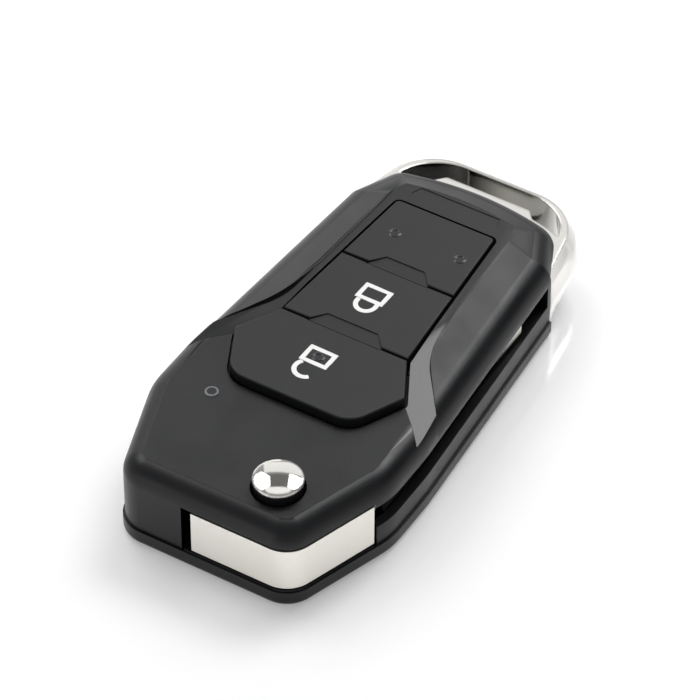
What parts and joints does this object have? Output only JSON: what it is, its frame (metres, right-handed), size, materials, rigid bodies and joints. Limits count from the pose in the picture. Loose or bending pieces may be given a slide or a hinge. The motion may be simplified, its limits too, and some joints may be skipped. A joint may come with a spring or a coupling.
{
  "type": "folding car remote key",
  "caption": "Folding car remote key: case with padlock buttons, key head that swings out on a push button's axis, and a chrome frame with a key-ring window.",
  "frame": {"origin": "middle of the bottom of the box round the closed key", "axes": "+X towards the side with the blade's slot, +Y towards the key-ring end, +Z from the back up to the buttons"},
  "size_m": [0.0396, 0.0808, 0.0163],
  "materials": {
    "case_plastic": "fine moulded grain",
    "cap_plastic": "fine moulded grain",
    "carrier_plastic": "moulded, smooth",
    "chrome_plating": "polished plating",
    "satin_nickel": "satin plated die casting",
    "blade_nickel": "nickel plated, milled",
    "pin_steel": "bright steel",
    "spring_steel": "bright spring steel",
    "clear_lens": "clear moulding",
    "mat_rubber": "silicone",
    "board_resin": "solder mask",
    "switch_plastic": "moulded with a steel cover",
    "cell_can": "bright can",
    "chip_resin": "moulded package",
    "crystal_can": "bright can",
    "coil_ferrite": "ferrite with a copper winding",
    "led_resin": "clear package"
  },
  "bodies": {
    "case": {"front_cover": "case_plastic", "back_cover": "case_plastic", "loop_frame": "chrome_plating", "blank_panel": "cap_plastic", "indicator_lens": "clear_lens", "inner_carrier": "carrier_plastic", "keypad_mat": "mat_rubber", "circuit_board": "board_resin", "unlock_switch": "switch_plastic", "lock_switch": "switch_plastic", "coin_cell": "cell_can", "cell_contact_positive": "spring_steel", "cell_contact_negative": "spring_steel", "control_chip": "chip_resin", "crystal": "crystal_can", "antenna_coil": "coil_ferrite", "status_led": "led_resin", "flip_spring": "spring_steel"},
    "blade": {"key_head": "satin_nickel", "key_blade": "blade_nickel", "blade_pin": "pin_steel"},
    "release": {"release_button": "chrome_plating", "button_core": "cap_plastic"},
    "lock": {"lock_button": "cap_plastic"},
    "unlock": {"unlock_button": "cap_plastic"}
  },
  "joints": [
    {"name": "blade_flip", "type": "hinge", "parent": "case", "child": "blade", "pos_m": [0.00725, -0.0324, 0.0069], "axis": [0, 0, -1], "range_deg": [0, 180]},
    {"name": "release_press", "type": "slide", "parent": "case", "child": "release", "axis": [0, 0, -1], "range_m": [0, 0.0012], "stiffness_N_per_m": 1000, "springref_m": -0.001, "deforming": ["flip_spring"]},
    {"name": "lock_press", "type": "slide", "parent": "case", "child": "lock", "axis": [0, 0, -1], "range_m": [0, 0.0004], "stiffness_N_per_m": 3000, "springref_m": -0.0002},
    {"name": "unlock_press", "type": "slide", "parent": "case", "child": "unlock", "axis": [0, 0, -1], "range_m": [0, 0.0004], "stiffness_N_per_m": 3000, "springref_m": -0.0002}
  ]
}
